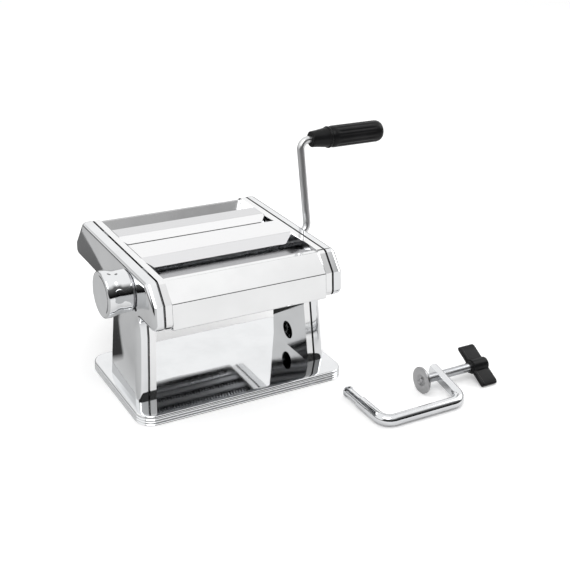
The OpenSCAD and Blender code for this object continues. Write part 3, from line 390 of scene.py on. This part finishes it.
def leg_y(side, z):
    return LEG_TOP[side] + (LEG_FOOT[side] - LEG_TOP[side]) * (BODY_LOW - z) / (BODY_LOW - BASE_TOP)


# Outline of a side as (y, z, corner radius), anticlockwise from the crease on the front of the leg
SIDE_CORNERS = [
    (leg_y(0, CREASE_Z), CREASE_Z, 0),
    (leg_y(0, BASE_TOP), BASE_TOP, 0),
    (leg_y(1, BASE_TOP), BASE_TOP, 0),
    (leg_y(1, CREASE_Z), CREASE_Z, 0),
    (LEG_TOP[1], BODY_LOW, LEG_FILLET),
    (121.0, BODY_LOW, CORNER_R),
    (120.5, BODY_TOP - 25.0, 0),
    (100.5, BODY_TOP, CORNER_R),
    (-51.5, BODY_TOP, CORNER_R),
    (-65.7, BODY_TOP - 16.0, 0),
    (-68.2, BODY_LOW, CORNER_R),
    (LEG_TOP[0], BODY_LOW, LEG_FILLET),
]


def casing_point(x, q, i):
    """Point i of a casing ring: straight above the crease, spread below it and mitred on it."""
    if i in (0, 3):
        return Vector((x, q.x, CREASE_Z + (x - PANEL_IN) * math.tan(SPLAY / 2)))
    if i > 3:
        return Vector((x, q.x, q.y))
    across, drop = x - PANEL_IN, q.y - CREASE_Z
    point = Vector((
        PANEL_IN + across * math.cos(SPLAY) - drop * math.sin(SPLAY),
        q.x,
        CREASE_Z + across * math.sin(SPLAY) + drop * math.cos(SPLAY),
    ))
    point.z = BASE_TOP
    return point


def casing(side, name):
    """Thin pressed shell with a rolled rim, made on the right and mirrored for the left."""
    view = outline(SIDE_CORNERS, ARC_STEPS)
    count = len(view)
    turn = [math.pi / 2 * i / EDGE_STEPS for i in range(EDGE_STEPS + 1)]
    inner_r = EDGE_R - CASING_T
    rings = [(SEAM_X + x, d) for x, d in SEAM_EDGE]
    rings += [(FACE_X - EDGE_R * (1 - math.sin(a)), EDGE_R * (1 - math.cos(a))) for a in turn]
    back = [(FACE_X - CASING_T - inner_r * (1 - math.sin(a)), CASING_T + inner_r * (1 - math.cos(a)))
            for a in reversed(turn)]
    face_ring = len(rings) - 1
    rings += back + [(SEAM_X, CASING_T)]
    points = []
    for x, d in rings:
        moved = inset(view, d)
        if d:
            for i in (1, 2):
                moved[i].y = BASE_TOP
        points += [casing_point(x, q, i) for i, q in enumerate(moved)]
    faces = []
    for k in range(len(rings)):
        if k == face_ring:
            continue
        for i in range(count):
            if i == 1:
                continue
            a, b = k * count + i, k * count + (i + 1) % count
            c = (k + 1) % len(rings) * count + (i + 1) % count
            d = (k + 1) % len(rings) * count + i
            faces.append((a, b, c, d))
    for ring, flip in ((face_ring, False), (face_ring + 1, True)):
        start = ring * count
        pieces = [[0, 1, 2, 3]]
        pieces += [[3 + j, 4 + j, count - 1 - j, (count - j) % count] for j in range(ARC_STEPS + 1)]
        pieces += [list(range(4 + ARC_STEPS, count - ARC_STEPS))]
        for piece in pieces:
            face = [start + i for i in piece]
            faces.append(tuple(reversed(face)) if flip else tuple(face))
    for k in range(len(rings) // 2):
        m = len(rings) - 1 - k
        if k < face_ring:
            quad = (k * count + 1, (k + 1) * count + 1, (m - 1) * count + 1, m * count + 1)
            faces.append(quad)
            faces.append(tuple(j + 1 for j in reversed(quad)))
    points = [Vector((p.x * side * MM, p.y * MM, p.z * MM)) for p in points]
    if side < 0:
        faces = [tuple(reversed(f)) for f in faces]
    shell = mesh_piece(name, points, faces, MIRROR, "machine", name.replace("shell", "casing"),
                       28.0)
    # The rounded edge at the seam takes the near-black material: painted shade in the seam.
    shell.data.materials.append(SEAM_SHADE)
    edge_faces = (len(SEAM_EDGE) - 1) * (count - 1)
    for face in shell.data.polygons[:edge_faces]:
        face.material_index = 1


casing(1, "right_shell")
casing(-1, "left_shell")


# Base pan: rolled ribs round the rim under a flat top
base_low, base_high = (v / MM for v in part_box("base_plate"))
BASE_R = 15.0
RIB_COUNT = 3
RIB_DEPTH = 1.0
RIB_STEPS = 10
BASE_SHEET = 1.0
BASE_EDGE_R = 1.6
BASE_FLAT = 3.0


def base_pan():
    half_w, half_d = base_high.x, base_high.y
    height = base_high.z - base_low.z
    steps = RIB_STEPS * RIB_COUNT
    profile = []
    for i in range(steps + 1):
        t = i / steps
        wave = RIB_DEPTH * (0.5 - 0.5 * math.cos(2 * math.pi * RIB_COUNT * t)) if 0 < t < 1 else 0
        profile.append((wave, base_low.z + (height - BASE_EDGE_R) * t))
    for i in range(1, 7):
        a = math.pi / 2 * i / 6
        profile.append((BASE_EDGE_R * (1 - math.cos(a)), base_high.z - BASE_EDGE_R * (1 - math.sin(a))))
    profile.append((BASE_EDGE_R + BASE_FLAT, base_high.z))
    inner = [(BASE_EDGE_R + BASE_FLAT, base_high.z - BASE_SHEET),
             (RIB_DEPTH + BASE_SHEET, base_high.z - BASE_SHEET),
             (RIB_DEPTH + BASE_SHEET, base_low.z), (0.0, base_low.z)]
    shape = outline([(x * half_w, y * half_d, BASE_R) for x, y in ((1, 1), (-1, 1), (-1, -1), (1, -1))], 16)
    count = len(shape)
    points = []
    for d, z in profile + inner:
        points += [Vector((q.x, q.y, z)) * MM for q in inset(shape, d)]
    faces = []
    last = len(profile) - 1
    rings = len(profile) + len(inner)
    for k in range(rings - 1):
        if k == last:
            continue
        for i in range(count):
            a, b = k * count + i, k * count + (i + 1) % count
            faces.append((a, b, b + count, a + count))
    faces.append(tuple(range(last * count, (last + 1) * count)))
    faces.append(tuple(reversed(range((last + 1) * count, (last + 2) * count))))
    mesh_piece("base_pan", points, faces, MIRROR, "machine", "base_plate", 40.0)


base_pan()


# Feed tray: runs from under the front panel's lip down to the wide cutters' slot
TRAY_PATH = [(-48.6, 124.0), (-45.0, 124.0), (-44.2, 122.9), (-38.4, 122.7), (-17.4, 117.9), (-16.6, 117.0)]
TRAY_W = 71.6
TRAY_END_W = 62.0
TRAY_T = 1.0
TRAY_FOLD_R = 0.5
TAPER_FROM = -38.4
TAPER_LEN = 21.0


def feed_tray():
    corners = [Vector(q) for q in TRAY_PATH]
    path = [corners[0]]
    for a, b, c in zip(corners, corners[1:], corners[2:]):
        path += corner(a, b, c, TRAY_FOLD_R, 5)
    path.append(corners[-1])
    under = []
    for i, q in enumerate(path):
        along = unit(path[min(i + 1, len(path) - 1)] - path[max(i - 1, 0)])
        under.append(q - left_of(along) * TRAY_T)
    section = path + under[::-1]
    points = []
    for side in (-1, 1):
        for q in section:
            t = clamped((q.x - TAPER_FROM) / TAPER_LEN)
            points.append(Vector((side * (TRAY_W + (TRAY_END_W - TRAY_W) * t), q.x, q.y)) * MM)
    count, half = len(section), len(path)
    faces = [(count + i, count + (i + 1) % count, (i + 1) % count, i) for i in range(count)]
    for i in range(half - 1):
        quad = (i, i + 1, count - 2 - i, count - 1 - i)
        faces.append(quad)
        faces.append(tuple(count + j for j in reversed(quad)))
    mesh_piece("feed_tray", points, faces, TRAY, "machine", "front_tray",
               40.0)


feed_tray()


def lathe(name, profile, centre, material, body, stands_for, direction=1, sides=96, sharp=35.0,
          shape=None):
    """Surface turned about an axis along X from (radius, x) pairs in millimetres."""
    points = []
    for r, x in profile:
        for i in range(sides):
            a = 2 * math.pi * i / sides
            real = shape(r, x, a) if shape else r
            y, z = centre[0] + real * math.cos(a), centre[1] + real * math.sin(a)
            points.append(Vector((direction * x, y, z)) * MM)
    faces = grid_faces(len(profile), sides, flip=direction < 0)
    mesh_piece(name, points, faces, material, body, stands_for, sharp)


def arc(middle, r, start, stop, steps):
    """Points of an arc in (radius, x), with angles in degrees from the radius direction."""
    turn = [math.radians(start + (stop - start) * i / steps) for i in range(steps + 1)]
    return [(middle[0] + r * math.cos(a), middle[1] + r * math.sin(a)) for a in turn]


# Thickness knob: a turned cup that flares to its rim, with a shallow dish in its face
knob_low, knob_high = (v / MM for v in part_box("knob_shell"))
KNOB_AT = (-13.0, 105.5)
KNOB_NECK = 18.5
KNOB_RIM = knob_high.y - KNOB_AT[0]
KNOB_STRAIGHT = 8.0
KNOB_FLARE = 10.0
KNOB_EDGE_R = 1.6
DISH_R = KNOB_RIM - 4.2
DISH_STEP = 0.5
DISH_DEPTH = 0.25
# Radius of the small hole that a turned surface keeps on its axis
PIN_HOLE = 0.01


def knob():
    foot, face = -knob_high.x, -knob_low.x
    profile = [(KNOB_NECK - 1.2, foot), (KNOB_NECK - 0.3, foot), (KNOB_NECK, foot + 0.3),
               (KNOB_NECK, foot + KNOB_STRAIGHT)]
    for i in range(1, 11):
        t = i / 10
        widened = KNOB_NECK + (KNOB_RIM - KNOB_NECK) * (t * t * (3 - 2 * t))
        profile.append((widened, foot + KNOB_STRAIGHT + t * KNOB_FLARE))
    profile += arc((KNOB_RIM - KNOB_EDGE_R, face - KNOB_EDGE_R), KNOB_EDGE_R, 0, 90, 8)
    profile += [(KNOB_RIM - 3.2, face - 0.05), (DISH_R, face - DISH_STEP)]
    for i in range(1, 8):
        t = i / 8
        profile.append((DISH_R * (1 - t), face - DISH_STEP - DISH_DEPTH * math.sin(math.pi * t)))
    profile.append((PIN_HOLE, face - DISH_STEP))
    lathe("knob_cup", profile, KNOB_AT, MIRROR, "thickness_knob", "knob_shell",
          direction=-1)


knob()


# Crank grip: a neck, a collar and a softly fluted body with a rounded end
ARM_END = (48.51, 193.98)
GRIP_X = 120.0
GRIP_LEN = 78.0
GRIP_R = 10.4
GRIP_NECK = 20.0
COLLAR_R = 1.5
FLUTES = 14
FLUTE_DEPTH = 0.55
FLUTE_FADE = 4.0
FLUTE_FROM = GRIP_X + GRIP_NECK + 5.0
FLUTE_TO = GRIP_X + GRIP_LEN - 8.0
MOUTH_R = 3.2
NOSE_R = 6.4
NOSE_EDGE_R = 1.2
NECK_R = 7.6
END_DROP = 4.2
END_ROUND = 6.5
CAP_SEAT_R = 6.1


def fluted(r, x, angle):
    """Radius of the grip with its flutes, which fade out towards both ends of the body."""
    amount = clamped((x - FLUTE_FROM) / FLUTE_FADE) * clamped((FLUTE_TO - x) / FLUTE_FADE)
    wave = 0.5 - 0.5 * math.cos(FLUTES * angle)
    return r - FLUTE_DEPTH * amount * wave ** 2 if r > GRIP_R - COLLAR_R else r


def grip():
    end = GRIP_X + GRIP_LEN
    profile = [(MOUTH_R, GRIP_X + 6.0), (MOUTH_R, GRIP_X), (NOSE_R, GRIP_X)]
    profile += arc((NOSE_R, GRIP_X + NOSE_EDGE_R), NOSE_EDGE_R, -90, 0, 6)[1:]
    for i in range(1, 13):
        t = i / 12
        widened = NECK_R + (GRIP_R - 1.1 - NECK_R) * t ** 1.3
        profile.append((widened, GRIP_X + NOSE_EDGE_R + (GRIP_NECK - 5.2) * t))
    profile += arc((GRIP_R - COLLAR_R, GRIP_X + GRIP_NECK - COLLAR_R), COLLAR_R, -70, 60, 8)
    profile += [(GRIP_R - 1.3, GRIP_X + GRIP_NECK + 0.7), (GRIP_R - 1.0, GRIP_X + GRIP_NECK + 1.2),
                (GRIP_R - 0.25, GRIP_X + GRIP_NECK + 2.4), (GRIP_R, GRIP_X + GRIP_NECK + 4.0)]
    body = GRIP_X + GRIP_NECK + 4.0
    for i in range(1, 25):
        profile.append((GRIP_R, body + (end - END_ROUND - body) * i / 24))
    for i in range(1, 13):
        a = math.pi / 2 * i / 12
        profile.append((GRIP_R - END_DROP * (1 - math.cos(a)), end - END_ROUND * (1 - math.sin(a))))
    profile += [(CAP_SEAT_R, end - 0.15), (CAP_SEAT_R, end - 7.5)]
    lathe("grip_body", profile, ARM_END, BLACK, "grip", "crank_grip", sides=112, sharp=50.0,
          shape=fluted)


grip()


# Clamp: pressure disc and wing knob
SCREW_AXIS = (-116.3, 12.3)
PAD_X = 147.5
PAD_R = 12.3
WING_X = 209.95
WING_LEN = 19.0
WING_SPAN = 22.5
WING_TURN = math.radians(28.0)
WING_START = WING_X - WING_LEN / 2
WING_COLLAR_R = 5.7
WING_COLLAR_LEN = 2.2
WING_HUB_R = 6.9
WING_TAPER = 0.5
RIDGE_FROM = 2.0
RIDGE_TO = 4.6
RIDGE_HALF = 2.3
BLADE_HALF = 1.5
BLADE_ANGLE = 0.47
WING_EDGE = 1.2
# Disc from its rivet outwards and round to the neck behind it, as (radius, distance from its face plane)
PAD_PROFILE = [
    (PIN_HOLE, -1.0), (1.3, -1.0), (1.9, -0.7), (2.1, 0.1), (3.0, 0.5), (3.9, 0.3), (4.8, -0.5),
    (5.6, -1.1), (6.2, -1.3), (11.7, -1.3), (12.1, -1.2), (PAD_R, -0.9), (PAD_R, 0.4), (11.9, 0.9),
    (10.0, 1.2), (6.4, 2.2), (5.2, 3.2), (5.0, 5.7), (4.2, 5.8), (2.6, 5.8),
]


def pressure_disc():
    profile = [(r, PAD_X + x) for r, x in PAD_PROFILE]
    lathe("pressure_plate", profile, SCREW_AXIS, DISC, "pressure_disc", "clamp_pad",
          sides=80, sharp=30.0)


def wing_knob():
    """Hub with a collar and two blades, each with a thicker edge, laid out round the hub and then turned."""

    def radius(x, angle):
        past = x - WING_START
        hub = WING_COLLAR_R if x < WING_START + WING_COLLAR_LEN else WING_HUB_R - WING_TAPER * past / WING_LEN
        off = abs((angle + math.pi / 2) % math.pi - math.pi / 2)
        if off >= BLADE_ANGLE or x <= WING_START + RIDGE_FROM:
            return hub
        half = RIDGE_HALF if x < WING_START + RIDGE_TO else BLADE_HALF
        blade = min(WING_SPAN - 0.25, half / max(math.sin(off), 1e-4))
        tip = clamped((off - 0.05) / 0.42)
        return max(hub, blade * (1 - tip) + hub * tip)

    angles = []
    for i in range(4):
        base = i * math.pi / 2
        for j in range(24):
            t = (j / 24) ** 2 if i % 2 == 0 else 1 - (1 - j / 24) ** 2
            angles.append(base + math.pi / 2 * t)
    rows = [WING_LEN * k / 28 for k in range(29)]
    cos_turn, sin_turn = math.cos(WING_TURN), math.sin(WING_TURN)
    points = []
    for past in rows:
        inward = 1 - clamped(min(past, WING_LEN - past) / WING_EDGE)
        shrink = 0.92 + 0.08 * math.sqrt(1 - inward ** 2)
        for a in angles:
            r = radius(WING_START + past, a) * shrink
            y, z = r * math.cos(a), r * math.sin(a)
            points.append(Vector((WING_START + past, SCREW_AXIS[0] + y * cos_turn - z * sin_turn,
                                  SCREW_AXIS[1] + y * sin_turn + z * cos_turn)) * MM)
    count = len(angles)
    faces = grid_faces(len(rows), count)
    faces.append(tuple(reversed(range(count))))
    faces.append(tuple(range((len(rows) - 1) * count, len(rows) * count)))
    mesh_piece("wing_knob_body", points, faces, BLACK, "clamp_thread", "clamp_wing_knob",
               40.0)


pressure_disc()
wing_knob()


# Floor, light and world. Polished steel sees the floor darker in the lee behind the machine, a painted
# shadow;
# the lee's left edge is the slanted line x + LEE_SLANT * y = LEE_EDGE
LEE_SLANT = 0.215
LEE_EDGE = -0.107
LEE_SOFT = 0.003
FLOOR_SIZE = 6.0
FLOOR_COLOR = (0.9, 0.9, 0.9)
FLOOR_LIFT = 0.24


def floor():
    """White floor that keeps the shadow, with a painted shadow in the lee and painted shade to the left, for
    glossy rays only.
    """
    material = bpy.data.materials.new("floor")
    material.use_nodes = True
    tree = material.node_tree
    tree.nodes.clear()
    rays = add(tree, "ShaderNodeLightPath")
    place = add(tree, "ShaderNodeNewGeometry").outputs["Position"]
    across = add(tree, "ShaderNodeVectorMath", {0: place, 1: (1.0, LEE_SLANT, 0.0)}, operation="DOT_PRODUCT")
    parts = add(tree, "ShaderNodeSeparateXYZ", {"Vector": place}).outputs
    # Painted shadow of the machine on the floor behind it, and painted shade to the left, seen only by glossy
    # rays.
    lee = map_range(tree, across.outputs["Value"], LEE_EDGE - LEE_SOFT, LEE_EDGE + LEE_SOFT)
    lee = multiply(tree, lee, map_range(tree, parts["Y"], 0.055, 0.075))
    lee = multiply(tree, lee, map_range(tree, parts["X"], 0.105, 0.15, 1.0, 0.2))
    lee = multiply(tree, lee, map_range(tree, parts["Y"], 0.12, 0.35, 0.95, 0.82))
    left = map_range(tree, parts["X"], -0.13, -0.10, 0.42, 0.12)
    lee = add(tree, "ShaderNodeMath", {0: lee, 1: left}, operation="MAXIMUM").outputs[0]
    lee = multiply(tree, lee, rays.outputs["Is Glossy Ray"])
    tint = blend_colors(tree, lee, FLOOR_COLOR, (0.0, 0.0, 0.0))
    diffuse = add(tree, "ShaderNodeBsdfDiffuse", {"Color": tint})
    shown = multiply(tree, rays.outputs["Is Camera Ray"], FLOOR_LIFT)
    extra = add(tree, "ShaderNodeEmission", {"Color": (1, 1, 1, 1), "Strength": shown})
    total = add(tree, "ShaderNodeAddShader", {0: diffuse.outputs[0], 1: extra.outputs[0]})
    output = add(tree, "ShaderNodeOutputMaterial")
    tree.links.new(total.outputs[0], output.inputs["Surface"])
    corners = [(x * FLOOR_SIZE, y * FLOOR_SIZE, 0) for x, y in ((-1, -1), (1, -1), (1, 1), (-1, 1))]
    data = bpy.data.meshes.new("floor")
    data.from_pydata(corners, [], [(0, 1, 2, 3)])
    obj = bpy.data.objects.new("floor", data)
    obj.location.z = cad_box[0].z
    obj.data.materials.append(material)
    bpy.context.scene.collection.objects.link(obj)


def area_light(name, place, target, size, power):
    data = bpy.data.lights.new(name, "AREA")
    data.shape = "DISK"
    data.size = size
    data.energy = power
    obj = bpy.data.objects.new(name, data)
    obj.location = place
    obj.rotation_euler = (Vector(target) - Vector(place)).to_track_quat("-Z", "Y").to_euler()
    bpy.context.scene.collection.objects.link(obj)


# Studio seen in reflections: a white sky that darkens to its horizon, a dark wall in front, and a few darker
# directions, each (x, y, z, radius in degrees, darkness)
DARK_PLACES = [
    (-0.41, 0.79, 0.42, 14, 0.35),
    (0.456, 0.60, 0.66, 7, 0.8),
    (-0.61, 0.79, 0.10, 9, 0.5),
]
SKY_POWER = 2.2
WALL_SHADE = 0.12


def world():
    studio = bpy.data.worlds.new("studio")
    bpy.context.scene.world = studio
    studio.use_nodes = True
    tree = studio.node_tree
    tree.nodes.clear()
    direction = add(tree, "ShaderNodeTexCoord").outputs["Generated"]
    parts = add(tree, "ShaderNodeSeparateXYZ", {"Vector": direction}).outputs
    front = map_range(tree, parts["Y"], -0.2, -0.7, 0.2, 0.6)
    height = add(tree, "ShaderNodeMath", {0: parts["Z"], 1: front}, operation="DIVIDE").outputs[0]
    shade = map_range(tree, height, 0.0, 1.0, 0.1, 1.0)
    shade = add(tree, "ShaderNodeMath", {0: shade, 1: SKY_POWER}, operation="POWER").outputs[0]
    wall = multiply(tree, map_range(tree, parts["Y"], -0.28, -0.45), map_range(tree, parts["Z"], 0.82, 0.6))
    shade = multiply(tree, shade, blend_values(tree, wall, 1.0, WALL_SHADE))
    for x, y, z, radius, darkness in DARK_PLACES:
        aim = Vector((x, y, z)).normalized()
        dot = add(tree, "ShaderNodeVectorMath", {0: direction, 1: tuple(aim)}, operation="DOT_PRODUCT")
        rim, core = math.cos(math.radians(radius)), math.cos(math.radians(radius * 0.6))
        amount = map_range(tree, dot.outputs["Value"], rim, core, 1.0, 1 - darkness,
                           interpolation_type="SMOOTHSTEP")
        shade = multiply(tree, shade, amount)
    rays = add(tree, "ShaderNodeLightPath")
    seen = add(tree, "ShaderNodeMath", {
        0: rays.outputs["Is Camera Ray"], 1: rays.outputs["Is Transmission Ray"],
    }, operation="MAXIMUM").outputs[0]
    strength = blend_values(tree, seen, shade, 1.0)
    background = add(tree, "ShaderNodeBackground", {"Color": (1, 1, 1, 1), "Strength": strength})
    output = add(tree, "ShaderNodeOutputWorld")
    tree.links.new(background.outputs[0], output.inputs["Surface"])


floor()
world()
area_light("key", (-0.5, -0.7, 1.6), (0, 0, 0.1), 1.2, 9)
area_light("side", (1.3, -0.2, 1.0), (0, 0, 0.1), 0.9, 4)

bpy.context.scene.view_settings.view_transform = "Standard"
